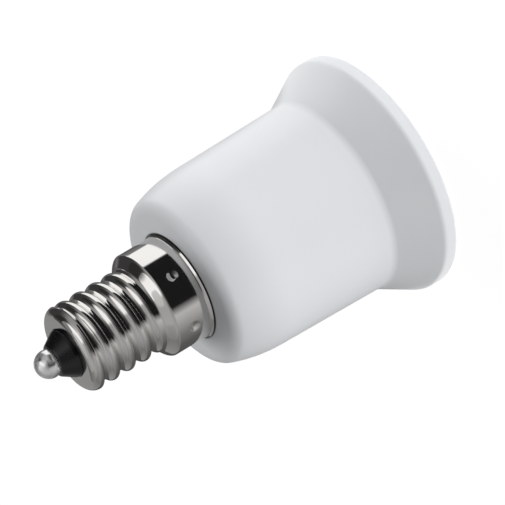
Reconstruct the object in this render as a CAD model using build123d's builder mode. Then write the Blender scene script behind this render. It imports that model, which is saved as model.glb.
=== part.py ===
"""Lamp socket adapter: a white moulded body with a small screw cap above and a large lamp socket below.

The part stands on the rim of its mouth. The origin is the centre of that rim, and +Z runs up the common
axis from the mouth to the tip of the cap. All sizes are in millimetres.
"""
import os

from build123d import *

# Moulded body, outside
RIM_RADIUS = 19.7
LIP_HEIGHT = 2.4
LIP_EDGE = 0.5
CREASE_RADIUS = 15.9
CREASE_HEIGHT = 9.1
SHOULDER_RADIUS = 15.3
SHOULDER_LENGTH = 9.2
FRONT_RADIUS = 13.3
FRONT_HEIGHT = 37.4
FRONT_EDGE = 0.35

# Moulded body, inside
LIP_WALL = 1.7
FUNNEL_LENGTH = 7.4
FLOOR_HEIGHT = 30.0
FLOOR = 2.0
NECK_WALL = 1.2
NECK_LENGTH = 5.2

# Screw cap, with the standard 14 mm lamp thread rolled into thin sheet
SHEET = 0.3
CAP_LENGTH = 20.05
CAP_PITCH = 2.822
CAP_CREST = 6.92
CAP_ROOT = 6.15
CAP_VALLEY = 0.7
CREST_RISE = 14.44
THREAD_RUN_IN = 0.5
THREAD_RUN_OUT = 1.1
GROOVE_OVERRUN = 0.15
CAP_FRONT_FLAT = 5.4
CAP_FRONT_HOLE = 4.0
CAP_CONE = 1.2
SKIRT_RADIUS = 8.45
SKIRT_LENGTH = 5.95
SKIRT_GAP = 0.25
SKIRT_EDGE = 0.3
SKIRT_LIP = 0.35
SKIRT_LIP_HEIGHT = 0.3

# Stakes punched through the skirt into a groove of the neck: two in view and one that faces them
STAKE_ANGLES = (-138.0, -78.0, 72.0)
STAKE_SIDES = 8
STAKE_BACK_SIDES = 4
STAKE_RISE = 3.1
STAKE_TIP = 0.35
STAKE_DEPTH = 0.35
STAKE_OVERRUN = 0.3

# Insulator and tip of the cap
INSULATOR_DEPTH = 3.6
CONE_LAND = 0.35
CONE_HEIGHT = 2.6
CONE_TOP_RADIUS = 2.5
EYELET_RADIUS = 1.8
EYELET_FLANGE = 0.35
EYELET_TUBE = 1.0
EYELET_TAIL = 0.4
TIP_RADIUS = 2.2
TIP_HEIGHT = 2.9

# Lamp socket, a stepped cup of the same sheet at the major size of the standard 27 mm lamp thread
LAMP_RADIUS = 13.35
LAMP_BARREL = 12.0
SHELL_INSET = 0.4
SHELL_THREAD = 12.8
FLANGE_HOLE = 6.3
TAB_WIDTH = 3.0
TAB_ROOT = 0.5
TAB_LEAF = 2.5

# Centre contact, a hairpin of spring leaf, and its rivet
LEAF = 0.4
LEAF_WIDTH = 3.8
FOOT_LENGTH = 7.8
BEND_X = 3.2
BEND_RADIUS = 1.5
HAIRPIN = 2.7
TONGUE_LENGTH = 6.0
TONGUE_DROP = 1.95
CURL_LENGTH = 1.6
CURL_RISE = 0.9
RIVET_X = -2.6
RIVET_RADIUS = 0.95
RIVET_HEAD = 1.5
RIVET_HEAD_HEIGHT = 0.55
RIVET_CUP = 1.2

# Wires and their solder
WIRE_RADIUS = 0.35
SLEEVE_WALL = 0.35
SLEEVE_GAP = 0.5
LIVE_RISE = 1.85
LIVE_DROP = 0.8
HOOK_CLEAR = 0.65
HOOK_NOTCH = 0.7
HOOK_TAIL = 2.85
SOLDER_RADIUS = 0.9
SOLDER_TOP = 0.5
SOLDER_HEIGHT = 0.9

# Clearances
NECK_FIT = 0.05
SHELL_FIT = 0.2
STAKE_FIT = 0.15
INSULATOR_FIT = 0.1
TAB_FIT = 0.1
RIVET_FIT = 0.05
WIRE_FIT = 0.05
GROOVE_FIT = 0.1

# Places that follow from the sizes above
SHOULDER_HEIGHT = FRONT_HEIGHT - SHOULDER_LENGTH
MOUTH_RADIUS = RIM_RADIUS - LIP_WALL
FUNNEL_TOP = LIP_HEIGHT + FUNNEL_LENGTH
SOCKET_BORE = LAMP_RADIUS + SHEET + SHELL_FIT
BARREL_BORE = LAMP_BARREL + SHEET + SHELL_FIT
SHELL_MOUTH = FUNNEL_TOP + SHELL_INSET
SHELL_STEP = SHELL_MOUTH + SHELL_THREAD
BORE_STEP = SHELL_STEP + SHEET + SHELL_FIT
CHAMBER_FLOOR = FLOOR_HEIGHT + FLOOR
NECK_RADIUS = SKIRT_RADIUS - SHEET - NECK_FIT
NECK_BORE = NECK_RADIUS - NECK_WALL
NECK_TOP = FRONT_HEIGHT + NECK_LENGTH
SKIRT_FOOT = FRONT_HEIGHT + SKIRT_GAP
SKIRT_TOP = SKIRT_FOOT + SKIRT_LENGTH
CAP_SHOULDER = SKIRT_TOP + CAP_CONE
CAP_FRONT = SKIRT_FOOT + CAP_LENGTH
CAP_BORE = CAP_ROOT - SHEET
CAP_ROOF = CAP_FRONT - SHEET
FRONT_ARC = CAP_CREST - CAP_FRONT_FLAT
CREST_HEIGHT = SKIRT_FOOT + CREST_RISE
THREAD_FOOT = CAP_SHOULDER + THREAD_RUN_IN
THREAD_TOP = CAP_FRONT - THREAD_RUN_OUT
STAKE_HEIGHT = SKIRT_FOOT + STAKE_RISE
STAKE_ROOT = SKIRT_RADIUS - STAKE_DEPTH
STAKE_MOUTH = STAKE_TIP + STAKE_DEPTH + STAKE_OVERRUN
STAKE_BACK = STAKE_ROOT - SHEET
LEAF_TOP = CHAMBER_FLOOR + SHEET
TAIL_TOP = CHAMBER_FLOOR + RIVET_HEAD_HEIGHT
INSULATOR_FOOT = CAP_ROOF - INSULATOR_DEPTH
EYELET_FOOT = INSULATOR_FOOT - EYELET_TAIL
CONE_TOP = CAP_FRONT + CONE_HEIGHT
EYELET_SEAT = CONE_TOP - EYELET_FLANGE
TIP_TOP = CONE_TOP + TIP_HEIGHT
WIRE_BORE = WIRE_RADIUS + WIRE_FIT
LIVE_LOW = TAIL_TOP + LIVE_RISE
LIVE_HIGH = EYELET_FOOT - LIVE_DROP
HOOK_OUT = SKIRT_RADIUS - SHEET - WIRE_FIT - WIRE_RADIUS
HOOK_IN = NECK_BORE - HOOK_CLEAR - WIRE_RADIUS
HOOK_SEAT = NECK_TOP - HOOK_NOTCH
HOOK_TOP = HOOK_SEAT + WIRE_RADIUS
HOOK_END = HOOK_TOP - HOOK_TAIL
LEAD_HEIGHT = LEAF_TOP + WIRE_FIT + WIRE_RADIUS
LEAD_START = FLANGE_HOLE - TAB_LEAF

os.makedirs("parts", exist_ok=True)


def thread_groove():
    """Cutter for the valley of the cap's thread: a flat of its own width between flanks of 45 degrees.

    The crest between two turns of the valley faces +X at CREST_HEIGHT.
    """
    root_half = CAP_VALLEY / 2
    mouth_radius = CAP_CREST + GROOVE_OVERRUN
    mouth_half = root_half + mouth_radius - CAP_ROOT
    with BuildPart() as cutter:
        with BuildLine():
            Helix(CAP_PITCH, THREAD_TOP - THREAD_FOOT, CAP_ROOT, center=(0, 0, THREAD_FOOT))
        with BuildSketch(Plane.XZ):
            with BuildLine():
                Polyline(
                    (CAP_ROOT, THREAD_FOOT - root_half),
                    (mouth_radius, THREAD_FOOT - mouth_half),
                    (mouth_radius, THREAD_FOOT + mouth_half),
                    (CAP_ROOT, THREAD_FOOT + root_half),
                    close=True,
                )
            make_face()
        sweep(is_frenet=True)
    turns = (THREAD_FOOT - CREST_HEIGHT) / CAP_PITCH
    return cutter.part.rotate(Axis.Z, 360 * turns - 180)


def stakes(root, tip, sides):
    """Punch marks round the skirt, with sides of 45 degrees and a flat tip at the root radius."""
    with BuildPart() as mark:
        with BuildSketch(Plane.YZ.offset(root)):
            with Locations((0, STAKE_HEIGHT)):
                RegularPolygon(tip, sides)
        extrude(amount=SKIRT_RADIUS + STAKE_OVERRUN - root, taper=-45)
    with BuildPart() as ring:
        for angle in STAKE_ANGLES:
            add(mark.part.rotate(Axis.Z, angle))
    return ring.part


def bent_tab():
    """Lug of the socket's floor: up through the moulded floor and folded inwards over it."""
    with BuildPart() as tab:
        with BuildSketch(Plane.YZ):
            with BuildLine():
                Polyline(
                    (FLANGE_HOLE + TAB_ROOT, FLOOR_HEIGHT - SHEET),
                    (FLANGE_HOLE - SHEET, FLOOR_HEIGHT - SHEET),
                    (FLANGE_HOLE - SHEET, CHAMBER_FLOOR),
                    (LEAD_START, CHAMBER_FLOOR),
                    (LEAD_START, LEAF_TOP),
                    (FLANGE_HOLE, LEAF_TOP),
                    (FLANGE_HOLE, FLOOR_HEIGHT),
                    (FLANGE_HOLE + TAB_ROOT, FLOOR_HEIGHT),
                    close=True,
                )
            make_face()
        extrude(amount=TAB_WIDTH / 2, both=True)
    return tab.part


# Moulded body: one piece, with a funnel mouth, the socket's stepped bore, a floor and a hollow neck
with BuildPart() as housing:
    with BuildSketch(Plane.XZ) as outline:
        with BuildLine():
            Polyline((0, 0), (RIM_RADIUS, 0), (RIM_RADIUS, LIP_HEIGHT), (CREASE_RADIUS, CREASE_HEIGHT))
            draft = Line((CREASE_RADIUS, CREASE_HEIGHT), (SHOULDER_RADIUS, SHOULDER_HEIGHT))
            shoulder = TangentArc(draft @ 1, (FRONT_RADIUS, FRONT_HEIGHT), tangent=draft % 1)
            Polyline(shoulder @ 1, (NECK_RADIUS, FRONT_HEIGHT), (NECK_RADIUS, NECK_TOP), (0, NECK_TOP), (0, 0))
        make_face()
        chamfer(outline.vertices().sort_by_distance((RIM_RADIUS, 0))[0], LIP_EDGE)
        chamfer(outline.vertices().sort_by_distance((FRONT_RADIUS, FRONT_HEIGHT))[0], FRONT_EDGE)
    revolve(axis=Axis.Z)
    with BuildSketch(Plane.XZ):
        with BuildLine():
            Polyline(
                (0, 0),
                (MOUTH_RADIUS, 0),
                (MOUTH_RADIUS, LIP_HEIGHT),
                (SOCKET_BORE, FUNNEL_TOP),
                (SOCKET_BORE, BORE_STEP),
                (BARREL_BORE, BORE_STEP),
                (BARREL_BORE, FLOOR_HEIGHT),
                (0, FLOOR_HEIGHT),
                close=True,
            )
        make_face()
    revolve(axis=Axis.Z, mode=Mode.SUBTRACT)
    # Bore of the neck, slots for the socket's lugs and the hole for the rivet
    with BuildSketch(Plane.XY.offset(CHAMBER_FLOOR)):
        Circle(NECK_BORE)
    extrude(amount=NECK_TOP - CHAMBER_FLOOR, mode=Mode.SUBTRACT)
    with BuildSketch(Plane.XY.offset(FLOOR_HEIGHT)):
        with PolarLocations(FLANGE_HOLE - SHEET / 2, 2, start_angle=90):
            Rectangle(SHEET + 2 * TAB_FIT, TAB_WIDTH + 2 * TAB_FIT)
        with Locations((RIVET_X, 0)):
            Circle(RIVET_RADIUS + RIVET_FIT)
    extrude(amount=FLOOR, mode=Mode.SUBTRACT)
    # Groove round the neck that the cap is staked into
    with BuildSketch(Plane.XY.offset(STAKE_HEIGHT)):
        Circle(NECK_RADIUS + NECK_FIT)
        Circle(STAKE_BACK - STAKE_FIT, mode=Mode.SUBTRACT)
    extrude(amount=STAKE_MOUTH + STAKE_FIT, both=True, mode=Mode.SUBTRACT)
    # Groove and notch for the wire that is hooked over the neck's end
    with BuildSketch(Plane.XY.offset(HOOK_END - GROOVE_FIT)):
        with Locations((0, HOOK_OUT)):
            Rectangle(2 * (WIRE_RADIUS + GROOVE_FIT), 2 * (WIRE_RADIUS + GROOVE_FIT))
    extrude(amount=NECK_TOP - HOOK_END + GROOVE_FIT, mode=Mode.SUBTRACT)
    with BuildSketch(Plane.XY.offset(HOOK_SEAT)):
        with Locations((0, (HOOK_IN + HOOK_OUT) / 2)):
            Rectangle(2 * (WIRE_RADIUS + GROOVE_FIT), HOOK_OUT - HOOK_IN)
    extrude(amount=HOOK_NOTCH, mode=Mode.SUBTRACT)

# Lamp socket: a stepped cup of thin sheet, open at its floor round the centre contact, with two folded lugs
with BuildPart() as socket_shell:
    with BuildSketch(Plane.XZ):
        with BuildLine():
            Polyline(
                (LAMP_RADIUS, SHELL_MOUTH),
                (LAMP_RADIUS + SHEET, SHELL_MOUTH),
                (LAMP_RADIUS + SHEET, SHELL_STEP + SHEET),
                (LAMP_BARREL + SHEET, SHELL_STEP + SHEET),
                (LAMP_BARREL + SHEET, FLOOR_HEIGHT),
                (FLANGE_HOLE, FLOOR_HEIGHT),
                (FLANGE_HOLE, FLOOR_HEIGHT - SHEET),
                (LAMP_BARREL, FLOOR_HEIGHT - SHEET),
                (LAMP_BARREL, SHELL_STEP),
                (LAMP_RADIUS, SHELL_STEP),
                close=True,
            )
        make_face()
    revolve(axis=Axis.Z)
    add(bent_tab())
    add(bent_tab().mirror(Plane.XZ))

# Centre contact: a foot on the floor, a hairpin bend and a tongue that ends in a curl
with BuildPart() as contact_spring:
    with BuildSketch(Plane.XZ):
        with BuildLine():
            FilletPolyline(
                (BEND_X - FOOT_LENGTH, FLOOR_HEIGHT),
                (BEND_X + BEND_RADIUS, FLOOR_HEIGHT),
                (BEND_X + BEND_RADIUS, FLOOR_HEIGHT - HAIRPIN),
                (BEND_X + BEND_RADIUS - TONGUE_LENGTH, FLOOR_HEIGHT - HAIRPIN - TONGUE_DROP),
                (
                    BEND_X + BEND_RADIUS - TONGUE_LENGTH - CURL_LENGTH,
                    FLOOR_HEIGHT - HAIRPIN - TONGUE_DROP + CURL_RISE,
                ),
                radius=BEND_RADIUS,
            )
            offset(amount=LEAF, side=Side.LEFT)
        make_face()
    extrude(amount=LEAF_WIDTH / 2, both=True)
    with BuildSketch(Plane.XY.offset(FLOOR_HEIGHT)):
        with Locations((RIVET_X, 0)):
            Circle(RIVET_RADIUS + RIVET_FIT)
    extrude(amount=-LEAF, mode=Mode.SUBTRACT)

# Rivet that clamps the contact's foot, with a cup in its tail for the wire
with BuildPart() as contact_rivet:
    with BuildSketch(Plane.XY.offset(FLOOR_HEIGHT - LEAF)):
        with Locations((RIVET_X, 0)):
            Circle(RIVET_HEAD)
    extrude(amount=-RIVET_HEAD_HEIGHT)
    with BuildSketch(Plane.XY.offset(FLOOR_HEIGHT - LEAF)):
        with Locations((RIVET_X, 0)):
            Circle(RIVET_RADIUS)
    extrude(amount=TAIL_TOP - FLOOR_HEIGHT + LEAF)
    with BuildSketch(Plane.XY.offset(CHAMBER_FLOOR)):
        with Locations((RIVET_X, 0)):
            Circle(RIVET_HEAD)
    extrude(amount=RIVET_HEAD_HEIGHT)
    with BuildSketch(Plane.XY.offset(TAIL_TOP)):
        with Locations((RIVET_X, 0)):
            Circle(WIRE_BORE)
    extrude(amount=-RIVET_CUP, mode=Mode.SUBTRACT)

# Space inside the screw cap, with the backs of the stakes standing into it
with BuildPart() as cap_hollow:
    with BuildSketch(Plane.XZ):
        with BuildLine():
            Polyline(
                (0, SKIRT_FOOT),
                (SKIRT_RADIUS + SKIRT_LIP - SHEET, SKIRT_FOOT),
                (SKIRT_RADIUS - SHEET, SKIRT_FOOT + SKIRT_LIP_HEIGHT),
                (SKIRT_RADIUS - SHEET, SKIRT_TOP - SHEET),
                (CAP_BORE, CAP_SHOULDER - SHEET),
                (CAP_BORE, CAP_ROOF),
                (CAP_FRONT_HOLE, CAP_ROOF),
                (CAP_FRONT_HOLE, CAP_FRONT),
                (0, CAP_FRONT),
                close=True,
            )
        make_face()
    revolve(axis=Axis.Z)
    add(stakes(STAKE_BACK, STAKE_TIP + SHEET, STAKE_BACK_SIDES), mode=Mode.SUBTRACT)

# Screw cap: a staked skirt, a conical shoulder, a rolled thread and a rounded front
with BuildPart() as cap_shell:
    with BuildSketch(Plane.XZ) as section:
        with BuildLine():
            Polyline(
                (0, SKIRT_FOOT),
                (SKIRT_RADIUS + SKIRT_LIP, SKIRT_FOOT),
                (SKIRT_RADIUS, SKIRT_FOOT + SKIRT_LIP_HEIGHT),
                (SKIRT_RADIUS, SKIRT_TOP),
                (CAP_CREST, CAP_SHOULDER),
                (CAP_CREST, CAP_FRONT - FRONT_ARC),
            )
            RadiusArc((CAP_CREST, CAP_FRONT - FRONT_ARC), (CAP_FRONT_FLAT, CAP_FRONT), -FRONT_ARC)
            Polyline((CAP_FRONT_FLAT, CAP_FRONT), (0, CAP_FRONT), (0, SKIRT_FOOT))
        make_face()
        chamfer(section.vertices().sort_by_distance((SKIRT_RADIUS, SKIRT_TOP))[0], SKIRT_EDGE)
    revolve(axis=Axis.Z)
    add(thread_groove(), mode=Mode.SUBTRACT)
    add(stakes(STAKE_ROOT, STAKE_TIP, STAKE_SIDES), mode=Mode.SUBTRACT)
    add(cap_hollow.part, mode=Mode.SUBTRACT)

# Insulator: a plug in the cap's front that rises through its hole as a cone
with BuildPart() as cap_insulator:
    with BuildSketch(Plane.XZ):
        with BuildLine():
            Polyline(
                (EYELET_TUBE + WIRE_FIT, INSULATOR_FOOT),
                (CAP_BORE - INSULATOR_FIT, INSULATOR_FOOT),
                (CAP_BORE - INSULATOR_FIT, CAP_ROOF),
                (CAP_FRONT_HOLE - INSULATOR_FIT, CAP_ROOF),
                (CAP_FRONT_HOLE - INSULATOR_FIT, CAP_FRONT + CONE_LAND),
                (CONE_TOP_RADIUS, CONE_TOP),
                (EYELET_RADIUS + WIRE_FIT, CONE_TOP),
                (EYELET_RADIUS + WIRE_FIT, EYELET_SEAT),
                (EYELET_TUBE + WIRE_FIT, EYELET_SEAT),
                close=True,
            )
        make_face()
    revolve(axis=Axis.Z)

# Eyelet that carries the live wire through the insulator
with BuildPart() as cap_eyelet:
    with BuildSketch(Plane.XZ):
        with BuildLine():
            Polyline(
                (WIRE_BORE, EYELET_FOOT),
                (EYELET_TUBE, EYELET_FOOT),
                (EYELET_TUBE, EYELET_SEAT),
                (EYELET_RADIUS, EYELET_SEAT),
                (EYELET_RADIUS, CONE_TOP),
                (WIRE_BORE, CONE_TOP),
                close=True,
            )
        make_face()
    revolve(axis=Axis.Z)

# Live wire: from the rivet's cup up the neck to the tip, with a sleeve over its slanted middle
with BuildPart() as live_wire:
    with BuildLine():
        Polyline(
            (RIVET_X, 0, TAIL_TOP - RIVET_CUP),
            (RIVET_X, 0, LIVE_LOW),
            (0, 0, LIVE_HIGH),
            (0, 0, CONE_TOP),
        )
    with BuildSketch(Plane.XY.offset(TAIL_TOP - RIVET_CUP)):
        with Locations((RIVET_X, 0)):
            Circle(WIRE_RADIUS)
    sweep(transition=Transition.RIGHT)

with BuildPart() as live_sleeve:
    with BuildLine():
        slant = Line((RIVET_X, 0, LIVE_LOW), (0, 0, LIVE_HIGH), mode=Mode.PRIVATE)
        sleeve_foot = slant.position_at(SLEEVE_GAP, position_mode=PositionMode.LENGTH)
        sleeve_top = slant.position_at(slant.length - SLEEVE_GAP, position_mode=PositionMode.LENGTH)
        Line(sleeve_foot, sleeve_top)
    with BuildSketch(Plane(origin=sleeve_foot, z_dir=slant % 0)):
        Circle(WIRE_BORE + SLEEVE_WALL)
        Circle(WIRE_BORE, mode=Mode.SUBTRACT)
    sweep()

# Neutral wire: from a folded lug up the neck, hooked over its end and held by the cap's skirt
with BuildPart() as neutral_wire:
    with BuildLine():
        Polyline(
            (0, LEAD_START, LEAD_HEIGHT),
            (0, HOOK_IN, LEAD_HEIGHT),
            (0, HOOK_IN, HOOK_TOP),
            (0, HOOK_OUT, HOOK_TOP),
            (0, HOOK_OUT, HOOK_END),
        )
    with BuildSketch(Plane.XZ.offset(-LEAD_START)):
        with Locations((0, LEAD_HEIGHT)):
            Circle(WIRE_RADIUS)
    sweep(transition=Transition.RIGHT)

# Solder: a bead on the rivet's tail, one on the lug, and the round tip of the cap
with BuildPart() as wire_solder:
    with Locations((RIVET_X, 0, TAIL_TOP), (0, LEAD_START + SOLDER_RADIUS, LEAF_TOP)):
        Cone(SOLDER_RADIUS, SOLDER_TOP, SOLDER_HEIGHT, align=(Align.CENTER, Align.CENTER, Align.MIN))
    add(live_wire.part, mode=Mode.SUBTRACT)
    add(neutral_wire.part, mode=Mode.SUBTRACT)

with BuildPart() as cap_tip:
    with Locations((0, 0, TIP_TOP - TIP_RADIUS)):
        Sphere(TIP_RADIUS)
    with BuildSketch(Plane.XY.offset(CONE_TOP)):
        Circle(TIP_RADIUS)
    extrude(amount=TIP_HEIGHT, mode=Mode.INTERSECT)

for name, piece in (
    ("housing", housing),
    ("socket_shell", socket_shell),
    ("contact_spring", contact_spring),
    ("contact_rivet", contact_rivet),
    ("cap_shell", cap_shell),
    ("cap_insulator", cap_insulator),
    ("cap_eyelet", cap_eyelet),
    ("cap_tip", cap_tip),
    ("live_wire", live_wire),
    ("live_sleeve", live_sleeve),
    ("neutral_wire", neutral_wire),
    ("wire_solder", wire_solder),
):
    piece.part.label = name
    export_step(piece.part, f"parts/{name}.step")
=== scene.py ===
"""Lamp socket adapter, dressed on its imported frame: rolled metal, moulded plastic and a plain studio."""
import logging
import math
from dataclasses import dataclass, field
from enum import Enum
from typing import Any, ClassVar, Optional, Sequence

import bmesh
import bpy
from mathutils import Matrix, Vector


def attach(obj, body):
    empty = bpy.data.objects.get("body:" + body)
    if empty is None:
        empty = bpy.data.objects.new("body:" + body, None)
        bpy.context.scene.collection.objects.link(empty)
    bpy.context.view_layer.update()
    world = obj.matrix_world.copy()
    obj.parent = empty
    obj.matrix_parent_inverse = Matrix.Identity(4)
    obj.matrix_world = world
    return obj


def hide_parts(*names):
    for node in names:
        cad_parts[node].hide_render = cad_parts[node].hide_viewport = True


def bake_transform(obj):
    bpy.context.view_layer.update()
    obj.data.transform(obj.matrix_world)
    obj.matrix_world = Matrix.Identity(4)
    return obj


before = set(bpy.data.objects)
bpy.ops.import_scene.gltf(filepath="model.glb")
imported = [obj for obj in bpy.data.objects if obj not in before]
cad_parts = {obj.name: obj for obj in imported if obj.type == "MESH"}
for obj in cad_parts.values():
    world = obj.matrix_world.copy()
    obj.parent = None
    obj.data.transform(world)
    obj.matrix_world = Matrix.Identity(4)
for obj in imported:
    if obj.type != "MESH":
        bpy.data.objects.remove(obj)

# Metres in a millimetre, and how far in millimetres a point may lie from the radius that it belongs to
MM = 0.001
PLAY = 1e-3
LOG = logging.getLogger("adapter")
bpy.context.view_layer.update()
Colour = tuple[float, float, float]


class Body(Enum):
    """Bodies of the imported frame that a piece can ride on."""

    ADAPTER = "adapter"
    CONTACT = "contact"


class Face(Enum):
    """Side that the faces of an open sheet look to: away from the axis or towards it."""

    OUT = 1.0
    IN = -1.0


# Shader maths


class Value:
    """A socket that carries a number or a colour, with the operators that the finishes use."""

    def __init__(self, nodes: "Nodes", socket: bpy.types.NodeSocket) -> None:
        """Keep the tree that new nodes go to and the socket that is read."""
        self.nodes = nodes
        self.socket = socket

    def maths(self, operation: str, *operands: Any) -> "Value":
        """Add one Math node.

        Args:
            operation: Name of the node's operation.
            operands: Numbers or values, in the node's order.

        Returns:
            The result as a value.
        """
        return self.nodes.add("ShaderNodeMath", {"operation": operation}, dict(enumerate(operands)))

    def __add__(self, other: Any) -> "Value":
        """Sum."""
        return self.maths("ADD", self, other)

    def __radd__(self, other: Any) -> "Value":
        """Sum with a number on the left."""
        return self.maths("ADD", other, self)

    def __sub__(self, other: Any) -> "Value":
        """Difference."""
        return self.maths("SUBTRACT", self, other)

    def __rsub__(self, other: Any) -> "Value":
        """Difference from a number on the left."""
        return self.maths("SUBTRACT", other, self)

    def __mul__(self, other: Any) -> "Value":
        """Product."""
        return self.maths("MULTIPLY", self, other)

    def __rmul__(self, other: Any) -> "Value":
        """Product with a number on the left."""
        return self.maths("MULTIPLY", other, self)

    def capped(self) -> "Value":
        """The value, held to one at most."""
        return self.maths("MINIMUM", self, 1.0)

    def over(self, limit: float) -> "Value":
        """One where the value is over a limit, and zero elsewhere."""
        return self.maths("GREATER_THAN", self, limit)


class Nodes:
    """A node tree that is written as calls and expressions."""

    # Sockets of a Mix node that mixes colours: its factor, its two colours and its result
    FACTOR: ClassVar[int] = 0
    FIRST: ClassVar[int] = 6
    SECOND: ClassVar[int] = 7
    RESULT: ClassVar[int] = 2

    def __init__(self, tree: bpy.types.NodeTree) -> None:
        """Empty the tree and keep it."""
        self.tree = tree
        tree.nodes.clear()

    def add(self, kind: str, settings: dict[str, Any], sockets: dict[Any, Any],
            out: Any = 0) -> Optional[Value]:
        """Add a node.

        Args:
            kind: Type of the node.
            settings: Its properties, set before its sockets. A ramp's stops go under "stops".
            sockets: Numbers, colours or values for its inputs, by name or by index.
            out: Output that is read, by name or by index.

        Returns:
            That output as a value, or None for a node that has no outputs.
        """
        node = self.tree.nodes.new(kind)
        for key, value in settings.items():
            if key == "stops":
                stops = node.color_ramp.elements
                while len(stops) < len(value):
                    stops.new(1.0)
                for stop, (place, level) in zip(stops, value):
                    stop.position = place
                    stop.color = (level, level, level, 1.0)
            else:
                setattr(node, key, value)
        for key, value in sockets.items():
            if isinstance(value, Value):
                self.tree.links.new(value.socket, node.inputs[key])
            else:
                node.inputs[key].default_value = value
        return Value(self, node.outputs[out]) if len(node.outputs) else None

    def noise(self, place: Value, waves: float, detail: float = 3.0) -> Value:
        """Noise from 0 to 1 at a place, in waves per metre."""
        return self.add("ShaderNodeTexNoise", {}, {"Vector": place, "Scale": waves, "Detail": detail}, "Fac")

    def stretched(self, place: Value, scale: Sequence[float]) -> Value:
        """A place with each of its axes scaled."""
        return self.add("ShaderNodeMapping", {}, {"Vector": place, "Scale": tuple(scale)})

    def stepped(self, value: Value, low: float, high: float) -> Value:
        """A mask that rises from 0 at the low value to 1 at the high one."""
        return self.add("ShaderNodeValToRGB", {"stops": ((low, 0.0), (high, 1.0))}, {"Fac": value})

    def between(self, factor: Value, low: Any, high: Any) -> Value:
        """A colour between two colours, each a value or a tuple."""
        first, second = (end if isinstance(end, Value) else (*end, 1.0) for end in (low, high))
        sockets = {self.FACTOR: factor, self.FIRST: first, self.SECOND: second}
        return self.add("ShaderNodeMix", {"data_type": "RGBA"}, sockets, self.RESULT)

    def bump(self, height: Value, strength: float, depth: float) -> Value:
        """A normal that leans with a height, whose whole range is a depth in millimetres."""
        sockets = {"Strength": strength, "Distance": depth * MM, "Height": height}
        return self.add("ShaderNodeBump", {}, sockets)


def blank_material(name: str) -> tuple[bpy.types.Material, Nodes]:
    """Start a material.

    Args:
        name: Its name.

    Returns:
        The material and its emptied node tree.
    """
    material = bpy.data.materials.new(name)
    material.use_nodes = True
    return material, Nodes(material.node_tree)


# Finishes


@dataclass(frozen=True)
class Finish:
    """A finish of one kind of surface. Each kind gives the sockets of its shader from its own fields."""

    name: str

    def material(self) -> bpy.types.Material:
        """Make the material.

        Returns:
            The material, with its shader linked to the output.
        """
        material, nodes = blank_material(self.name)
        place = nodes.add("ShaderNodeTexCoord", {}, {}, "Object")
        shader = nodes.add("ShaderNodeBsdfPrincipled", {}, self.sockets(nodes, place))
        nodes.add("ShaderNodeOutputMaterial", {}, {"Surface": shader})
        return material

    def sockets(self, nodes: Nodes, place: Value) -> dict[str, Any]:
        """Sockets of the shader, which each kind of finish gives."""
        raise NotImplementedError


@dataclass(frozen=True)
class Moulding(Finish):
    """Moulded plastic: faint clouds in the colour, a satin skin and the fine peel of the mould."""

    CLOUD_WAVES: ClassVar[float] = 90.0
    CLOUD_GLOSS: ClassVar[float] = 0.12
    SKIN_WAVES: ClassVar[float] = 2600.0
    SKIN_GLOSS: ClassVar[float] = 0.06
    PEEL_DEPTH: ClassVar[float] = 0.02
    REFRACTION: ClassVar[float] = 1.5

    colour: Colour
    cloud: Colour
    roughness: float
    peel: float

    def sockets(self, nodes: Nodes, place: Value) -> dict[str, Any]:
        """Colour, gloss and relief of the moulding.

        Args:
            nodes: Tree of the material.
            place: Object coordinates.

        Returns:
            The shader's sockets.
        """
        clouds = nodes.noise(place, self.CLOUD_WAVES)
        skin = nodes.noise(place, self.SKIN_WAVES, detail=2.0)
        gloss = (clouds - 0.5) * self.CLOUD_GLOSS + (skin - 0.5) * self.SKIN_GLOSS
        return {
            "Base Color": nodes.between(clouds, self.colour, self.cloud),
            "Roughness": self.roughness + gloss,
            "Normal": nodes.bump(skin, self.peel, self.PEEL_DEPTH),
            "IOR": self.REFRACTION,
        }


@dataclass(frozen=True)
class SeatedMoulding(Moulding):
    """Moulded plastic that carries a metal skirt, with painted shade under the skirt and in the gap round
    its foot.
    """

    gap_shade: Colour
    gap_shade_edge: float
    gap_shade_fade: float
    gap_shade_height: float

    def sockets(self, nodes: Nodes, place: Value) -> dict[str, Any]:
        """Sockets of the moulding, with painted shade under the skirt that fades out just past its lip.

        Args:
            nodes: Tree of the material.
            place: Object coordinates.

        Returns:
            The shader's sockets.
        """
        sockets = super().sockets(nodes, place)
        level = nodes.stretched(place, (1.0, 1.0, 0.0))
        aside = nodes.add("ShaderNodeVectorMath", {"operation": "LENGTH"}, {0: level}, "Value")
        height = nodes.add("ShaderNodeSeparateXYZ", {}, {0: place}, "Z")
        # Painted shade: dark colour inside the skirt's radius and a little past it, above a height, stands
        # in for the shadow in the gap at the cap's foot.
        inside = ((self.gap_shade_edge + self.gap_shade_fade) * MM - aside) * (1.0 / (self.gap_shade_fade * MM))
        shade_under_skirt = inside * height.over(self.gap_shade_height * MM)
        sockets["Base Color"] = nodes.between(shade_under_skirt, sockets["Base Color"], self.gap_shade)
        return sockets


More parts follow.
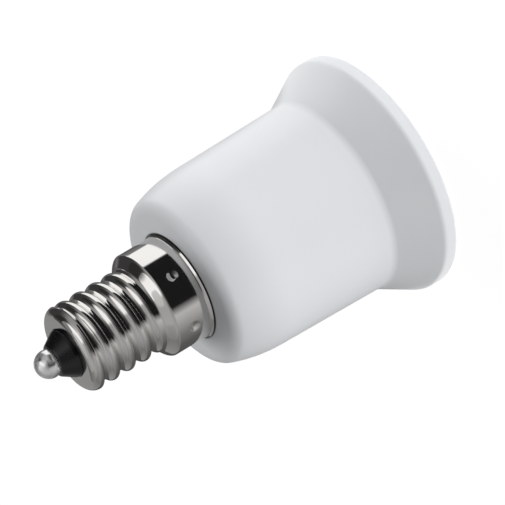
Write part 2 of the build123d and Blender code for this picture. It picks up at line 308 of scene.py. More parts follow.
@dataclass(frozen=True)
class Plate(Finish):
    """Bright metal: rolling lines round the axis, light smears and a few rubbed spots."""

    SMEAR_WAVES: ClassVar[float] = 160.0
    RUB_WAVES: ClassVar[float] = 420.0
    RUB_RANGE: ClassVar[tuple[float, float]] = (0.5, 0.75)
    RUB_RELIEF: ClassVar[float] = 0.3
    ROLLED_WAVES: ClassVar[Sequence[float]] = (300.0, 300.0, 9000.0)
    DULLING: ClassVar[float] = 0.05
    LINE_DEPTH: ClassVar[float] = 0.01

    colour: Colour
    tarnish: Colour
    roughness: float
    lines: float

    def sockets(self, nodes: Nodes, place: Value) -> dict[str, Any]:
        """Colour, gloss and relief of the metal.

        Args:
            nodes: Tree of the material.
            place: Object coordinates.

        Returns:
            The shader's sockets.
        """
        smear = nodes.noise(place, self.SMEAR_WAVES)
        rubbed = nodes.stepped(nodes.noise(place, self.RUB_WAVES, detail=5.0), *self.RUB_RANGE)
        rolled = nodes.noise(nodes.stretched(place, self.ROLLED_WAVES), 1.0, detail=4.0)
        return {
            "Base Color": nodes.between(smear, self.colour, self.tarnish),
            "Metallic": 1.0,
            "Roughness": self.roughness + (smear + rubbed) * self.DULLING,
            "Normal": nodes.bump(rolled + rubbed * self.RUB_RELIEF, self.lines, self.LINE_DEPTH),
        }


@dataclass(frozen=True)
class Glaze(Finish):
    """Glossy dark insulation: a smooth skin with faint ripples and specks of dust."""

    RIPPLE_WAVES: ClassVar[float] = 700.0
    RIPPLE: ClassVar[float] = 0.12
    RIPPLE_DEPTH: ClassVar[float] = 0.03
    DUST_WAVES: ClassVar[float] = 1500.0
    DUST_RANGE: ClassVar[tuple[float, float]] = (0.55, 0.85)
    DUST_DULLING: ClassVar[float] = 0.2

    colour: Colour
    dust: Colour
    roughness: float

    def sockets(self, nodes: Nodes, place: Value) -> dict[str, Any]:
        """Colour, gloss and ripple of the skin.

        Args:
            nodes: Tree of the material.
            place: Object coordinates.

        Returns:
            The shader's sockets.
        """
        ripple = nodes.noise(place, self.RIPPLE_WAVES, detail=2.0)
        dusty = nodes.stepped(nodes.noise(place, self.DUST_WAVES, detail=6.0), *self.DUST_RANGE)
        return {
            "Base Color": nodes.between(dusty, self.colour, self.dust),
            "Roughness": self.roughness + dusty * self.DUST_DULLING,
            "Normal": nodes.bump(ripple, self.RIPPLE, self.RIPPLE_DEPTH),
        }


@dataclass(frozen=True)
class Solder(Finish):
    """Set solder: bright where it froze smooth, with frosted islands and a dimpled skin."""

    ISLAND_WAVES: ClassVar[float] = 650.0
    ISLAND_RANGE: ClassVar[tuple[float, float]] = (0.35, 0.6)
    ISLAND_DULLING: ClassVar[float] = 0.12
    DIMPLE_WAVES: ClassVar[float] = 1300.0
    DIMPLE: ClassVar[float] = 0.18
    DIMPLE_DEPTH: ClassVar[float] = 0.04

    colour: Colour
    dull: Colour
    roughness: float
    frost: float

    def sockets(self, nodes: Nodes, place: Value) -> dict[str, Any]:
        """Colour, gloss and dimples of the bead.

        Args:
            nodes: Tree of the material.
            place: Object coordinates.

        Returns:
            The shader's sockets.
        """
        islands = nodes.stepped(nodes.noise(place, self.ISLAND_WAVES, detail=4.0), *self.ISLAND_RANGE)
        dimples = nodes.noise(place, self.DIMPLE_WAVES)
        return {
            "Base Color": nodes.between(islands, self.colour, self.dull),
            "Metallic": 1.0 - islands * self.frost,
            "Roughness": self.roughness + islands * self.ISLAND_DULLING,
            "Normal": nodes.bump(dimples, self.DIMPLE, self.DIMPLE_DEPTH),
        }


# The white moulding carries painted shade: a dark ring under the cap's skirt that stands in for the shadow
# in the gap.
WHITE_MOULDING = SeatedMoulding(
    "white_moulding", colour=(0.842, 0.857, 0.88), cloud=(0.812, 0.83, 0.857), roughness=0.34, peel=0.05,
    gap_shade=(0.05, 0.05, 0.05), gap_shade_edge=8.8, gap_shade_fade=0.2, gap_shade_height=37.0)
RED_SLEEVE = Moulding(
    "red_sleeve", colour=(0.5, 0.06, 0.045), cloud=(0.42, 0.045, 0.035), roughness=0.42, peel=0.12)
BRIGHT_NICKEL = Plate(
    "bright_nickel", colour=(0.8, 0.785, 0.765), tarnish=(0.72, 0.7, 0.68), roughness=0.05, lines=0.05)
SOCKET_NICKEL = Plate(
    "socket_nickel", colour=(0.8, 0.79, 0.76), tarnish=(0.72, 0.7, 0.66), roughness=0.13, lines=0.09)
SPRING_BRASS = Plate(
    "spring_brass", colour=(0.8, 0.6, 0.27), tarnish=(0.66, 0.47, 0.2), roughness=0.2, lines=0.12)
RIVET_BRASS = Plate(
    "rivet_brass", colour=(0.76, 0.57, 0.27), tarnish=(0.6, 0.43, 0.19), roughness=0.24, lines=0.14)
COPPER_WIRE = Plate(
    "copper_wire", colour=(0.8, 0.42, 0.27), tarnish=(0.62, 0.3, 0.18), roughness=0.22, lines=0.1)
BLACK_GLAZE = Glaze(
    "black_glaze", colour=(0.004, 0.004, 0.0045), dust=(0.009, 0.009, 0.0085), roughness=0.16)
TIP_SOLDER = Solder(
    "tip_solder", colour=(0.96, 0.96, 0.95), dull=(0.9, 0.9, 0.89), roughness=0.12, frost=0.25)


# Modelling helpers


class Outline:
    """A half section in the XZ plane, drawn as a wire in millimetres and turned about the axis."""

    CORNER_STEPS: ClassVar[int] = 5
    MERGE: ClassVar[float] = 1e-4

    def __init__(self, radius: float, height: float) -> None:
        """Start the wire at a point of the section."""
        self.mesh = bmesh.new()
        self.end = self.mesh.verts.new((radius * MM, 0.0, height * MM))
        self.corners: list[tuple[bmesh.types.BMVert, float]] = []

    def line(self, radius: float, height: float, steps: int = 1, corner: float = 0.0) -> "Outline":
        """Draw a straight run.

        Args:
            radius: Radius of its end.
            height: Height of its end.
            steps: Pieces that it is divided into.
            corner: Cut-back of the round that its end gets, or nothing for a sharp corner.

        Returns:
            The outline, for the next run.
        """
        start = self.end.co.copy()
        goal = Vector((radius * MM, 0.0, height * MM))
        for step in range(steps):
            made = bmesh.ops.extrude_vert_indiv(self.mesh, verts=[self.end])
            self.end = made["verts"][0]
            self.end.co = start.lerp(goal, (step + 1) / steps)
        if corner:
            self.corners.append((self.end, corner * MM))
        return self

    def arc(self, radius: float, height: float, degrees: float, steps: int) -> "Outline":
        """Draw an arc by spinning the wire's end.

        Args:
            radius: Radius of the arc's centre.
            height: Height of the arc's centre.
            degrees: Angle that is swept, positive from the axis' top towards the outside.
            steps: Pieces of the arc.

        Returns:
            The outline, for the next run.
        """
        centre = (radius * MM, 0.0, height * MM)
        made = bmesh.ops.spin(self.mesh, geom=[self.end], cent=centre, axis=(0.0, 1.0, 0.0),
                              angle=math.radians(degrees), steps=steps, use_duplicate=False)
        self.end = next(item for item in made["geom_last"] if isinstance(item, bmesh.types.BMVert))
        return self

    def turned(self, segments: int, open_face: Optional[Face] = None) -> bmesh.types.BMesh:
        """Round the corners and turn the wire once about the axis.

        Args:
            segments: Steps of the turn.
            open_face: Side that an open sheet looks to. A closed body looks outwards by itself.

        Returns:
            The mesh, with the join of its turn and its poles closed.
        """
        mesh = self.mesh
        for corner, offset in self.corners:
            bmesh.ops.bevel(mesh, geom=[corner], offset=offset, segments=self.CORNER_STEPS, profile=0.5,
                            affect="VERTICES", material=-1)
        bmesh.ops.spin(mesh, geom=mesh.verts[:] + mesh.edges[:], cent=(0.0, 0.0, 0.0), axis=(0.0, 0.0, 1.0),
                       angle=math.tau, steps=segments, use_merge=True, use_duplicate=False)
        bmesh.ops.remove_doubles(mesh, verts=mesh.verts[:], dist=self.MERGE * MM)
        bmesh.ops.recalc_face_normals(mesh, faces=mesh.faces[:])
        if open_face:
            lean = sum(Vector((*face.calc_center_median().xy, 0.0)).dot(face.normal) * face.calc_area()
                       for face in mesh.faces)
            if lean * open_face.value < 0.0:
                bmesh.ops.reverse_faces(mesh, faces=mesh.faces[:])
        return mesh


def strip(points: Sequence[Sequence[float]], width: Sequence[float]) -> bmesh.types.BMesh:
    """Draw a wire and widen it to a strip.

    Args:
        points: Places along one edge of the strip, in millimetres.
        width: Way from that edge to the other one, in millimetres.

    Returns:
        The strip, with a face for each run of the wire.
    """
    mesh = bmesh.new()
    end = mesh.verts.new(Vector(points[0]) * MM)
    for point in points[1:]:
        end = bmesh.ops.extrude_vert_indiv(mesh, verts=[end])["verts"][0]
        end.co = Vector(point) * MM
    wide = bmesh.ops.extrude_edge_only(mesh, edges=mesh.edges[:])
    moved = [item for item in wide["geom"] if isinstance(item, bmesh.types.BMVert)]
    bmesh.ops.translate(mesh, verts=moved, vec=Vector(width) * MM)
    return mesh


def edge_near(mesh: bmesh.types.BMesh, place: Vector) -> bmesh.types.BMEdge:
    """The edge whose middle lies nearest to a place in metres."""
    return min(mesh.edges, key=lambda edge: ((edge.verts[0].co + edge.verts[1].co) / 2 - place).length)


def soften(mesh: bmesh.types.BMesh, edges: list[bmesh.types.BMEdge], cut: float, steps: int) -> None:
    """Round edges, cut back by a length in millimetres, in a number of steps."""
    bmesh.ops.bevel(mesh, geom=edges, offset=cut * MM, segments=steps, profile=0.5, affect="EDGES",
                    material=-1)


def thicken(mesh: bmesh.types.BMesh, sheet: float) -> None:
    """Give an open sheet its thickness, behind its faces, in millimetres."""
    bmesh.ops.solidify(mesh, geom=mesh.faces[:], thickness=sheet * MM)


def eased(share: float) -> float:
    """A share, held between 0 and 1 and eased at both ends."""
    held = min(1.0, max(0.0, share))
    return held * held * (3.0 - 2.0 * held)


def placed(name: str, mesh: bmesh.types.BMesh, material: bpy.types.Material) -> bpy.types.Object:
    """Make an object of a mesh.

    Args:
        name: Name of the object.
        mesh: Its mesh, which is used up.
        material: Its material.

    Returns:
        The object, linked to the scene.
    """
    data = bpy.data.meshes.new(name)
    mesh.to_mesh(data)
    mesh.free()
    data.materials.append(material)
    made = bpy.data.objects.new(name, data)
    bpy.context.scene.collection.objects.link(made)
    return made


def finished(name: str, mesh: bmesh.types.BMesh, finish: Finish, crease: float = 35.0) -> bpy.types.Object:
    """Make a piece of a mesh, smooth but for its creases.

    Args:
        name: Name of the piece.
        mesh: Its mesh, which is used up.
        finish: Its finish.
        crease: Angle in degrees from which an edge stays sharp.

    Returns:
        The piece, linked to the scene.
    """
    piece = placed(name, mesh, finish.material())
    piece.data.shade_smooth()
    piece.data.set_sharp_from_angle(angle=math.radians(crease))
    return piece


def stand_in(piece: bpy.types.Object, node: str, body: Optional[Body] = Body.ADAPTER) -> None:
    """Let a piece stand for a CAD node.

    Args:
        piece: The new piece.
        node: Node that it replaces.
        body: Body that it rides on, or None to leave it on no body.
    """
    if body:
        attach(piece, body.value)
    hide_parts(node)
    LOG.info("%s stands for %s with %d faces", piece.name, node, len(piece.data.polygons))


@dataclass(frozen=True)
class KnuckleThread:
    """Rolled screw thread of equal arcs, right-hand, that fades out at both ends."""

    pitch: float
    crest: float
    root: float
    foot: float
    top: float
    crest_height: float
    fade: float

    def drop(self, angle: float, height: float) -> float:
        """Depth of the thread below its crest.

        Args:
            angle: Angle about the axis from +X, in radians.
            height: Height in millimetres.

        Returns:
            The depth in millimetres.
        """
        depth = self.crest - self.root
        turns = (height - self.crest_height) / self.pitch - angle / math.tau
        along = abs(turns - round(turns)) * self.pitch
        arc = ((self.pitch / 4) ** 2 + (depth / 2) ** 2) / depth
        if along < self.pitch / 4:
            fall = arc - math.sqrt(arc ** 2 - along ** 2)
        else:
            fall = depth - arc + math.sqrt(arc ** 2 - (self.pitch / 2 - along) ** 2)
        return fall * eased(min(height - self.foot, self.top - height) / self.fade)

    def roll(self, mesh: bmesh.types.BMesh) -> None:
        """Sink the valleys of the thread into a plain barrel of the crest's radius."""
        for vert in mesh.verts:
            radius = vert.co.xy.length
            if abs(radius / MM - self.crest) < PLAY and self.foot < vert.co.z / MM < self.top:
                drop = self.drop(math.atan2(vert.co.y, vert.co.x), vert.co.z / MM)
                vert.co.xy *= 1.0 - drop * MM / radius


# Sub-assemblies


@dataclass
class MouldedBody:
    """White body: a flared mouth, a drafted barrel, a round shoulder, a flat front and a hollow neck."""

    rim: float = 19.7
    mouth: float = 18.0
    lip: float = 2.4
    crease: float = 15.9
    crease_height: float = 9.1
    shoulder: float = 15.3
    shoulder_height: float = 28.2
    front: float = 13.3
    front_height: float = 37.4
    front_edge: float = 2.2
    neck: float = 8.1
    neck_bore: float = 6.9
    neck_top: float = 42.6
    groove: float = 7.65
    groove_span: tuple[float, float] = (39.6, 41.9)
    chamber_floor: float = 32.0
    floor: float = 30.0
    funnel_top: float = 9.8
    bore: float = 13.85
    bore_step: float = 23.5
    barrel_bore: float = 12.5
    step_round: float = 0.2
    funnel_round: float = 0.5
    mouth_round: float = 0.7
    rim_round: float = 0.35
    rim_edge: float = 0.75
    lip_round: float = 0.35
    crease_round: float = 0.9
    neck_round: float = 0.15
    segments: int = 192

    def shoulder_arcs(self) -> tuple[tuple[float, float, float], tuple[float, float, float]]:
        """Work out the arc that leaves the draft smoothly and the tighter one that ends in the flat front.

        Returns:
            For each arc the radius and height of its centre, and the angle that it sweeps in degrees.
        """
        start = Vector((self.shoulder, self.shoulder_height))
        run = Vector((self.front, self.front_height)) - start
        draft = (start - Vector((self.crease, self.crease_height))).normalized()
        inward = Vector((-draft.y, draft.x))
        size = run.length_squared / (2.0 * run.dot(inward))
        centre = start + inward * size
        rise = self.front_height - self.front_edge - centre.y
        lean = Vector((math.sqrt((size - self.front_edge) ** 2 - rise ** 2), rise))
        swept = math.degrees((start - centre).angle(lean))
        rest = math.degrees(lean.angle(Vector((0.0, 1.0))))
        return (centre.x, centre.y, -swept), (centre.x + lean.x, centre.y + lean.y, -rest)

    def build(self) -> bpy.types.Object:
        """Turn the body's section, from the socket's floor out to the rim and up to the neck.

        Returns:
            The white body.
        """
        section = Outline(0.0, self.floor)
        section.line(self.barrel_bore, self.floor, steps=4)
        section.line(self.barrel_bore, self.bore_step, steps=2, corner=self.step_round)
        section.line(self.bore, self.bore_step)
        section.line(self.bore, self.funnel_top, steps=6, corner=self.funnel_round)
        section.line(self.mouth, self.lip, steps=10, corner=self.mouth_round)
        section.line(self.mouth, 0.0, steps=3, corner=self.rim_round)
        section.line(self.rim, 0.0, steps=3, corner=self.rim_edge)
        section.line(self.rim, self.lip, steps=4, corner=self.lip_round)
        section.line(self.crease, self.crease_height, steps=14, corner=self.crease_round)
        section.line(self.shoulder, self.shoulder_height, steps=28)
        round_shoulder, round_edge = self.shoulder_arcs()
        section.arc(*round_shoulder, steps=18).arc(*round_edge, steps=10)
        section.line(self.neck, self.front_height, steps=8, corner=self.neck_round)
        low, high = self.groove_span
        section.line(self.neck, low, steps=2).line(self.groove, low)
        section.line(self.groove, high, steps=2).line(self.neck, high)
        section.line(self.neck, self.neck_top, corner=self.neck_round)
        section.line(self.neck_bore, self.neck_top, corner=self.neck_round)
        section.line(self.neck_bore, self.chamber_floor, steps=6).line(0.0, self.chamber_floor, steps=3)
        piece = finished("white_body", section.turned(self.segments), WHITE_MOULDING)
        stand_in(piece, "housing")
        return piece


@dataclass
class ScrewCap:
    """Screw cap of thin sheet: a staked skirt, a conical shoulder, a rolled thread and a round front."""

    sheet: float = 0.3
    skirt: float = 8.45
    lip: float = 8.8
    lip_height: float = 0.3
    lip_round: float = 0.12
    foot: float = 37.65
    skirt_top: float = 43.6
    skirt_round: float = 0.45
    shoulder: float = 44.8
    shoulder_round: float = 0.25
    front: float = 57.7
    front_flat: float = 5.4
    hole: float = 4.0
    stake_angles: tuple[float, ...] = (-138.0, -78.0, 72.0)
    stake_height: float = 40.75
    stake_depth: float = 0.35
    stake_tip: float = 0.3
    stake_mouth: float = 0.95
    crease: float = 50.0
    segments: int = 224
    thread: KnuckleThread = field(default_factory=lambda: KnuckleThread(
        pitch=2.822, crest=6.92, root=6.15, foot=44.85, top=56.5, crest_height=52.09, fade=0.9))

    def punch(self, mesh: bmesh.types.BMesh) -> None:
        """Sink the stakes into the skirt, as round dimples with a flat tip."""
        for vert in mesh.verts:
            radius = vert.co.xy.length
            if abs(radius / MM - self.skirt) > PLAY:
                continue
            turn = math.degrees(math.atan2(vert.co.y, vert.co.x))
            aside = min(abs(math.remainder(turn - angle, 360.0)) for angle in self.stake_angles)
            away = math.hypot(math.radians(aside) * self.skirt, vert.co.z / MM - self.stake_height)
            share = (self.stake_mouth - away) / (self.stake_mouth - self.stake_tip)
            vert.co.xy *= 1.0 - self.stake_depth * eased(share) * MM / radius

    def build(self) -> bpy.types.Object:
        """Turn the cap's outside, roll its thread, punch its stakes and give it its sheet.

        Returns:
            The screw cap.
        """
        crest = self.thread.crest
        arc = crest - self.front_flat
        section = Outline(self.lip, self.foot)
        section.line(self.skirt, self.foot + self.lip_height, steps=3, corner=self.lip_round)
        section.line(self.skirt, self.skirt_top, steps=24, corner=self.skirt_round)
        section.line(crest, self.shoulder, steps=3, corner=self.shoulder_round)
        section.line(crest, self.front - arc, steps=84)
        section.arc(self.front_flat, self.front - arc, -90.0, steps=10)
        section.line(self.hole, self.front, steps=3)
        mesh = section.turned(self.segments, Face.OUT)
        self.thread.roll(mesh)
        self.punch(mesh)
        thicken(mesh, self.sheet)
        piece = finished("screw_cap", mesh, BRIGHT_NICKEL, self.crease)
        stand_in(piece, "cap_shell")
        return piece


@dataclass
class CapPlug:
    """Black insulator in the cap's front, the solder on its tip and the eyelet's seat inside it."""

    bore: float = 1.05
    outside: float = 5.75
    outside_round: float = 0.2
    foot: float = 53.8
    roof: float = 57.4
    neck: float = 3.9
    land: float = 58.05
    land_round: float = 0.3
    cone_top: float = 60.3
    cone: float = 2.5
    cone_round: float = 0.25
    seat: float = 1.85
    seat_height: float = 59.95
    tip: float = 2.2
    tip_top: float = 63.2
    sag: float = 0.02
    sag_lobes: float = 3.0
    sag_waves: float = 5.0
    segments: int = 128

    def build_plug(self) -> bpy.types.Object:
        """Turn the insulator.

        Returns:
            The black insulator.
        """
        section = Outline(self.bore, self.foot)
        section.line(self.outside, self.foot, steps=3, corner=self.outside_round)
        section.line(self.outside, self.roof, steps=3, corner=self.outside_round)
        section.line(self.neck, self.roof).line(self.neck, self.land, steps=2, corner=self.land_round)
        section.line(self.cone, self.cone_top, steps=10, corner=self.cone_round)
        section.line(self.seat, self.cone_top).line(self.seat, self.seat_height)
        section.line(self.bore, self.seat_height).line(self.bore, self.foot, steps=4)
        piece = finished("black_plug", section.turned(self.segments), BLACK_GLAZE)
        stand_in(piece, "cap_insulator")
        return piece

    def build_tip(self) -> bpy.types.Object:
        """Turn the bead of solder and let it sag a little at its foot.

        Returns:
            The solder tip.
        """
        middle = self.tip_top - self.tip
        start = math.sqrt(self.tip ** 2 - (middle - self.cone_top) ** 2)
        sweep = 90.0 + math.degrees(math.asin((middle - self.cone_top) / self.tip))
        section = Outline(0.0, self.cone_top).line(start, self.cone_top, steps=3)
        section.arc(0.0, middle, -sweep, steps=28)
        mesh = section.turned(self.segments)
        for vert in mesh.verts:
            low = max(0.0, (middle - vert.co.z / MM) / (middle - self.cone_top))
            lobes = math.sin(self.sag_lobes * math.atan2(vert.co.y, vert.co.x))
            waves = math.sin(self.sag_waves * vert.co.x / MM)
            vert.co.xy *= 1.0 - self.sag * low * (1.0 + lobes + waves)
        piece = finished("solder_tip", mesh, TIP_SOLDER)
        stand_in(piece, "cap_tip")
        return piece


@dataclass
class LampSocket:
    """Lamp socket of thin sheet: a rolled thread, a narrower barrel, a floor and two folded lugs."""

    sheet: float = 0.3
    mouth: float = 10.2
    step: float = 23.0
    step_round: float = 0.3
    barrel: float = 12.0
    floor: float = 29.7
    floor_round: float = 0.5
    hole: float = 6.3
    lug_root: float = 0.5
    lug_width: float = 3.0
    lug_fold: float = 32.0
    lug_end: float = 3.8
    lug_round: float = 0.35
    crease: float = 50.0
    segments: int = 192
    thread: KnuckleThread = field(default_factory=lambda: KnuckleThread(
        pitch=3.629, crest=13.35, root=12.25, foot=10.6, top=22.9, crest_height=14.2, fade=1.0))

    def lug(self, mesh: bmesh.types.BMesh, side: float) -> None:
        """Fold one lug up through the floor and inwards.

        Args:
            mesh: Mesh of the socket, which the lug joins.
            side: 1 or -1, the side of the axis along Y.
        """
        half = self.sheet / 2
        low, high, bend = self.floor + half, self.lug_fold + half, self.hole - half
        places = ((self.hole + self.lug_root, low), (bend, low), (bend, high), (self.lug_end, high))
        edge_line = [(-self.lug_width / 2, side * along, height) for along, height in places]
        tab = strip(edge_line, (self.lug_width, 0.0, 0.0))
        folds = [edge for edge in tab.edges if len(edge.link_faces) == 2]
        soften(tab, folds, self.lug_round, steps=4)
        bmesh.ops.recalc_face_normals(tab, faces=tab.faces[:])
        thicken(tab, self.sheet)
        data = bpy.data.meshes.new("lug")
        tab.to_mesh(data)
        tab.free()
        mesh.from_mesh(data)
        bpy.data.meshes.remove(data)

    def build(self) -> bpy.types.Object:
        """Turn the socket's inside, roll its thread, give it its sheet and fold its lugs.

        Returns:
            The lamp socket.
        """
        crest = self.thread.crest
        section = Outline(crest, self.mouth)
        section.line(crest, self.step, steps=72, corner=self.step_round)
        section.line(self.barrel, self.step, steps=3, corner=self.step_round)
        section.line(self.barrel, self.floor, steps=8, corner=self.floor_round)
        section.line(self.hole, self.floor, steps=8)
        mesh = section.turned(self.segments, Face.IN)
        self.thread.roll(mesh)
        thicken(mesh, self.sheet)
        for side in (1.0, -1.0):
            self.lug(mesh, side)
        piece = finished("lamp_socket", mesh, SOCKET_NICKEL, self.crease)
        stand_in(piece, "socket_shell")
        return piece


@dataclass
class CentreContact:
    """Centre contact: a hairpin of spring leaf, held at its foot by a rivet."""

    leaf: float = 0.4
    width: float = 3.8
    floor: float = 30.0
    foot_end: float = -4.6
    bend: float = 4.7
    hairpin: float = 27.3
    tongue: tuple[float, float] = (-1.3, 25.35)
    curl: tuple[float, float] = (-2.9, 26.25)
    bend_cuts: tuple[float, float, float] = (1.5, 1.09, 0.655)
    leaf_edge: float = 0.06
    leaf_edge_angle: float = 1.2
    rivet_x: float = -2.6
    rivet: float = 0.95
    head: float = 1.5
    head_foot: float = 29.05
    head_edge: float = 29.35
    head_round: float = 0.12
    grip_round: float = 0.06
    crown: float = 0.675
    crown_height: float = 29.09
    crown_round: float = 0.2
    tail: float = 32.0
    tail_top: float = 32.55
    tail_foot_round: float = 0.1
    tail_round: float = 0.2
    cup: float = 0.4
    cup_foot: float = 31.35
    cup_round: float = 0.1
    segments: int = 64

    def build_leaf(self) -> bpy.types.Object:
        """Draw the leaf from the side, widen it, round its bends and give it its thickness.

        Returns:
            The contact leaf, which rides on no body.
        """
        heel, knee = (self.bend, self.floor), (self.bend, self.hairpin)
        places = ((self.foot_end, self.floor), heel, knee, self.tongue, self.curl)
        edge_line = [(along, -self.width / 2, height) for along, height in places]
        mesh = strip(edge_line, (0.0, self.width, 0.0))
        for (along, height), cut in zip((heel, knee, self.tongue), self.bend_cuts):
            fold = edge_near(mesh, Vector((along, 0.0, height)) * MM)
            soften(mesh, [fold], cut, steps=10)
        bmesh.ops.recalc_face_normals(mesh, faces=mesh.faces[:])
        foot = max(mesh.faces, key=lambda face: face.calc_center_median().z)
        if foot.normal.z < 0.0:
            bmesh.ops.reverse_faces(mesh, faces=mesh.faces[:])
        thicken(mesh, self.leaf)
        sharp = [edge for edge in mesh.edges
                 if edge.is_manifold and edge.calc_face_angle() > self.leaf_edge_angle]
        soften(mesh, sharp, self.leaf_edge, steps=2)
        piece = finished("contact_leaf", mesh, SPRING_BRASS)
        stand_in(piece, "contact_spring", None)
        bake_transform(piece)
        return piece

    def build_rivet(self) -> bpy.types.Object:
        """Turn the rivet with its domed head and the cup in its tail.

        Returns:
            The rivet.
        """
        grip = self.floor - self.leaf
        section = Outline(0.0, self.head_foot)
        section.line(self.crown, self.crown_height, steps=2, corner=self.crown_round)
        section.line(self.head, self.head_edge, steps=3, corner=self.head_round)
        section.line(self.head, grip, corner=self.grip_round)
        section.line(self.rivet, grip).line(self.rivet, self.tail, steps=2)
        section.line(self.head, self.tail, corner=self.tail_foot_round)
        section.line(self.head, self.tail_top, corner=self.tail_round)
        section.line(self.cup, self.tail_top, steps=2, corner=self.cup_round)
        section.line(self.cup, self.cup_foot, steps=2).line(0.0, self.cup_foot)
        mesh = section.turned(self.segments)
        bmesh.ops.translate(mesh, verts=mesh.verts[:], vec=(self.rivet_x * MM, 0.0, 0.0))
        piece = finished("contact_rivet_turned", mesh, RIVET_BRASS)
        stand_in(piece, "contact_rivet")
        return piece


@dataclass
class Wiring:
    """Wires, sleeve, eyelet and solder inside the neck, which keep their CAD shapes and get finishes."""

    finishes: dict[str, Finish] = field(default_factory=lambda: {
        "live_wire": COPPER_WIRE,
        "neutral_wire": COPPER_WIRE,
        "live_sleeve": RED_SLEEVE,
        "cap_eyelet": RIVET_BRASS,
        "wire_solder": TIP_SOLDER,
    })

    def dress(self) -> None:
        """Give each node its finish."""
        for name, finish in self.finishes.items():
            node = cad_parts[name]
            for slot in node.material_slots:
                slot.material = finish.material()
            LOG.info("%s keeps its shape in %s", name, finish.name)


# Studio


@dataclass(frozen=True)
class Band:
    """A band of the reflection bowl: radius and height of both edges, and greys by azimuth in degrees."""

    name: str
    low: tuple[float, float]
    high: tuple[float, float]
    greys: tuple[tuple[float, float], ...]


@dataclass(frozen=True)
class SoftLamp:
    """A square lamp: its direction about the axis and above the table in degrees, and its power in watts."""

    name: str
    azimuth: float
    height: float
    watts: float


BOWL = (
    Band("lower_bowl", (26.0, 0.5), (95.0, 50.0), (
        (-180, 0.19), (-165, 0.29), (-150, 0.4), (-136, 0.5), (-119, 0.01), (-23, 0.01), (-20, 1.0),
        (30, 1.0), (34, 0.2), (60, 0.1), (95, 0.06), (150, 0.1), (180, 0.19))),
    Band("upper_bowl", (95.0, 50.0), (95.0, 112.0), (
        (-180, 0.26), (-150, 0.35), (-132, 0.37), (-114, 0.04), (-92, 0.05), (-70, 0.17), (-50, 0.34),
        (-20, 0.26), (0, 0.1), (15, 0.04), (55, 0.04), (70, 0.26), (115, 0.28), (150, 0.18), (180, 0.26))),
    Band("canopy", (95.0, 112.0), (48.0, 112.0), (
        (-180, 0.36), (-150, 0.35), (-120, 0.18), (-90, 0.18), (-60, 0.6), (-30, 0.35), (-5, 0.05),
        (10, 0.025), (50, 0.025), (80, 0.1), (150, 0.24), (180, 0.36))),
    Band("softbox", (48.0, 112.0), (20.0, 112.0), (
        (-180, 0.4), (-120, 0.35), (-95, 0.4), (-80, 1.0), (-8, 1.0), (5, 0.25), (60, 0.2), (180, 0.4))),
    Band("zenith", (20.0, 112.0), (0.5, 112.0), (
        (-180, 0.45), (0, 0.65), (180, 0.45))),
)
LAMPS = (
    SoftLamp("key", azimuth=54.0, height=55.0, watts=1.85),
    SoftLamp("fill", azimuth=-84.0, height=4.0, watts=0.45),
)


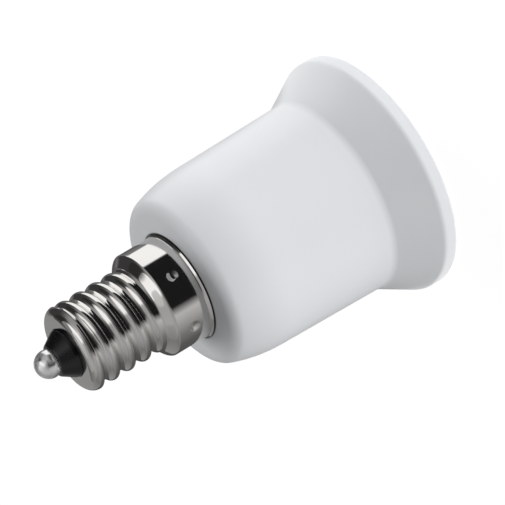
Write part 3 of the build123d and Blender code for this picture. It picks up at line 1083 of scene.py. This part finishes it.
@dataclass
class Studio:
    """Plain studio, in metres: a white table that glows, two soft lamps, and a bowl that only gloss sees."""

    floor_radius: float = 8.0
    paper: float = 0.86
    table_glow: float = 2.55
    table_seen: float = 1.08
    glow_share: float = 0.5
    glow_share_seen: float = 0.88
    ambient: float = 0.26
    bowl_glow: float = 1.15
    lamp_reach: float = 0.7
    lamp_size: float = 0.35
    segments: int = 96

    def seen(self, nodes: Nodes) -> Value:
        """Tell a look from a light.

        Args:
            nodes: Tree that the nodes go to.

        Returns:
            One for rays of the camera, of gloss and of glass, and zero for the rays that only light.
        """
        rays = [nodes.add("ShaderNodeLightPath", {}, {}, name)
                for name in ("Is Camera Ray", "Is Glossy Ray", "Is Transmission Ray")]
        return (rays[0] + rays[1] + rays[2]).capped()

    def either(self, nodes: Nodes, lit: float, seen: float) -> Value:
        """One level for the rays that only light and another for those that look."""
        return lit + self.seen(nodes) * (seen - lit)

    def prop(self, name: str, mesh: bmesh.types.BMesh, material: bpy.types.Material) -> bpy.types.Object:
        """Put a piece of the set into the scene.

        Args:
            name: Name of the piece.
            mesh: Its mesh, which is used up.
            material: Its material.

        Returns:
            The object, linked to the scene.
        """
        prop = placed(name, mesh, material)
        return prop

    def floor(self) -> None:
        """Lay the table: paper white where it is seen, with the part's soft shadow on it."""
        mesh = bmesh.new()
        bmesh.ops.create_circle(mesh, cap_ends=True, segments=self.segments, radius=self.floor_radius)
        material, nodes = blank_material("table_paper")
        paper = nodes.add("ShaderNodeBsdfDiffuse", {}, {"Color": (self.paper, self.paper, self.paper, 1.0)})
        level = self.either(nodes, self.table_glow, self.table_seen)
        glow = nodes.add("ShaderNodeEmission", {}, {"Strength": level})
        share = self.either(nodes, self.glow_share, self.glow_share_seen)
        mixed = nodes.add("ShaderNodeMixShader", {}, {0: share, 1: paper, 2: glow})
        nodes.add("ShaderNodeOutputMaterial", {}, {"Surface": mixed})
        self.prop("table", mesh, material)

    def reflector(self, band: Band) -> None:
        """Hang one band of the bowl, which only reflections see."""
        mesh = Outline(*band.low).line(*band.high).turned(self.segments)
        material, nodes = blank_material(band.name)
        place = nodes.add("ShaderNodeTexCoord", {}, {}, "Object")
        turn = nodes.add("ShaderNodeTexGradient", {"gradient_type": "RADIAL"}, {"Vector": place}, "Fac")
        stops = tuple((azimuth / 360.0 + 0.5, level) for azimuth, level in band.greys)
        grey = nodes.add("ShaderNodeValToRGB", {"stops": stops}, {"Fac": turn})
        face = nodes.add("ShaderNodeEmission", {}, {"Color": grey, "Strength": self.bowl_glow})
        nodes.add("ShaderNodeOutputMaterial", {}, {"Surface": face})
        prop = self.prop(band.name, mesh, material)
        prop.visible_camera = False
        prop.visible_diffuse = False
        prop.visible_transmission = False
        prop.visible_shadow = False

    def hang(self, lamp: SoftLamp) -> None:
        """Hang a lamp that looks at the part, and that bright metal doesn't mirror."""
        data = bpy.data.lights.new(lamp.name, "AREA")
        data.size = self.lamp_size
        data.energy = lamp.watts
        hung = bpy.data.objects.new(lamp.name, data)
        turn, rise = math.radians(lamp.azimuth), math.radians(lamp.height)
        level = math.cos(rise)
        place = Vector((level * math.cos(turn), level * math.sin(turn), math.sin(rise))) * self.lamp_reach
        aim = (-place).to_track_quat("-Z", "Y").to_matrix().to_4x4()
        hung.matrix_world = Matrix.Translation(place) @ aim
        hung.visible_glossy = False
        bpy.context.scene.collection.objects.link(hung)

    def sky(self) -> None:
        """Set an even sky, white where it is seen and dim where it lights."""
        world = bpy.data.worlds.new("studio")
        world.use_nodes = True
        nodes = Nodes(world.node_tree)
        level = self.either(nodes, self.ambient, 1.0)
        sky = nodes.add("ShaderNodeBackground", {}, {"Color": (1.0, 1.0, 1.0, 1.0), "Strength": level})
        nodes.add("ShaderNodeOutputWorld", {}, {"Surface": sky})
        bpy.context.scene.world = world

    def build(self) -> None:
        """Set up table, sky, bowl and lamps, with plain colour management."""
        bpy.context.scene.view_settings.view_transform = "Standard"
        self.floor()
        self.sky()
        for band in BOWL:
            self.reflector(band)
        for lamp in LAMPS:
            self.hang(lamp)
        LOG.info("studio set with %d bands and %d lamps", len(BOWL), len(LAMPS))


@dataclass
class Viewpoint:
    """Camera of the photograph: it looks along +Y and down on the part, rolled, with a long lens."""

    picture: float = 505.0
    focal: float = 2600.0
    dip: float = 23.2
    roll: float = 30.9
    mark: float = 61.2
    mark_pixel: tuple[float, float] = (47.68, 364.55)
    mark_depth: float = 375.6
    sensor: float = 36.0
    nearest: float = 10.0

    def build(self) -> None:
        """Place the camera so that a mark on the axis falls on its pixel."""
        dip, roll = math.radians(self.dip), math.radians(self.roll)
        to_x = Vector((-math.sin(roll), -math.cos(roll), 0.0))
        to_z = Vector((-math.cos(dip) * math.cos(roll), math.cos(dip) * math.sin(roll), -math.sin(dip)))
        turn = Matrix((to_x, to_z.cross(to_x), to_z))
        centre = self.picture / 2.0
        aside = [(pixel - centre) / self.focal for pixel in self.mark_pixel]
        seen = Vector((*aside, 1.0)) * self.mark_depth * MM
        data = bpy.data.cameras.new("viewpoint")
        data.sensor_width = self.sensor
        data.lens = self.focal * self.sensor / self.picture
        data.clip_start = self.nearest * MM
        camera = bpy.data.objects.new("viewpoint", data)
        flip = Matrix(((1.0, 0.0, 0.0), (0.0, -1.0, 0.0), (0.0, 0.0, -1.0)))
        place = Vector((0.0, 0.0, self.mark * MM)) - turn @ seen
        camera.matrix_world = Matrix.Translation(place) @ (turn @ flip).to_4x4()
        bpy.context.scene.collection.objects.link(camera)
        bpy.context.scene.camera = camera
        LOG.info("camera %.0f mm from the part", place.length / MM)


def main() -> None:
    """Build the studio and each sub-assembly in order."""
    logging.basicConfig(level=logging.INFO, format="%(message)s")
    Viewpoint().build()
    Studio().build()
    MouldedBody().build()
    ScrewCap().build()
    plug = CapPlug()
    plug.build_plug()
    plug.build_tip()
    LampSocket().build()
    contact = CentreContact()
    contact.build_leaf()
    contact.build_rivet()
    Wiring().dress()


if __name__ == "__main__":
    main()
